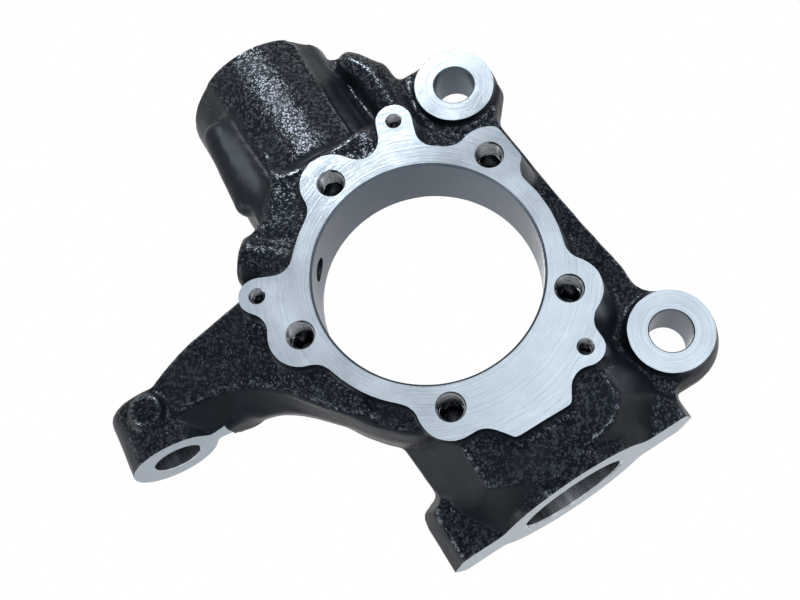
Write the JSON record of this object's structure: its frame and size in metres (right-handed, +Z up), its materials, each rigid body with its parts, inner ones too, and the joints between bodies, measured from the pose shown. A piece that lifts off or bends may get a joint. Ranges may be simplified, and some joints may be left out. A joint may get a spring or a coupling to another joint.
{
  "type": "steering knuckle",
  "caption": "Cast iron front steering knuckle with a hub bearing flange, strut clamp barrel, caliper bosses, ball joint housing and steering arm.",
  "frame": {"origin": "centre of the hub bore in the plane of the machined bearing flange", "axes": "-Y out of the flange towards the wheel, +Z up towards the strut, +X towards the brake caliper"},
  "size_m": [0.2472, 0.1068, 0.2518],
  "materials": {
    "casting": "gloss black paint over a sand-cast skin, bare machined faces and bores"
  },
  "bodies": {
    "root": {"steering_knuckle": "casting"}
  },
  "joints": []
}
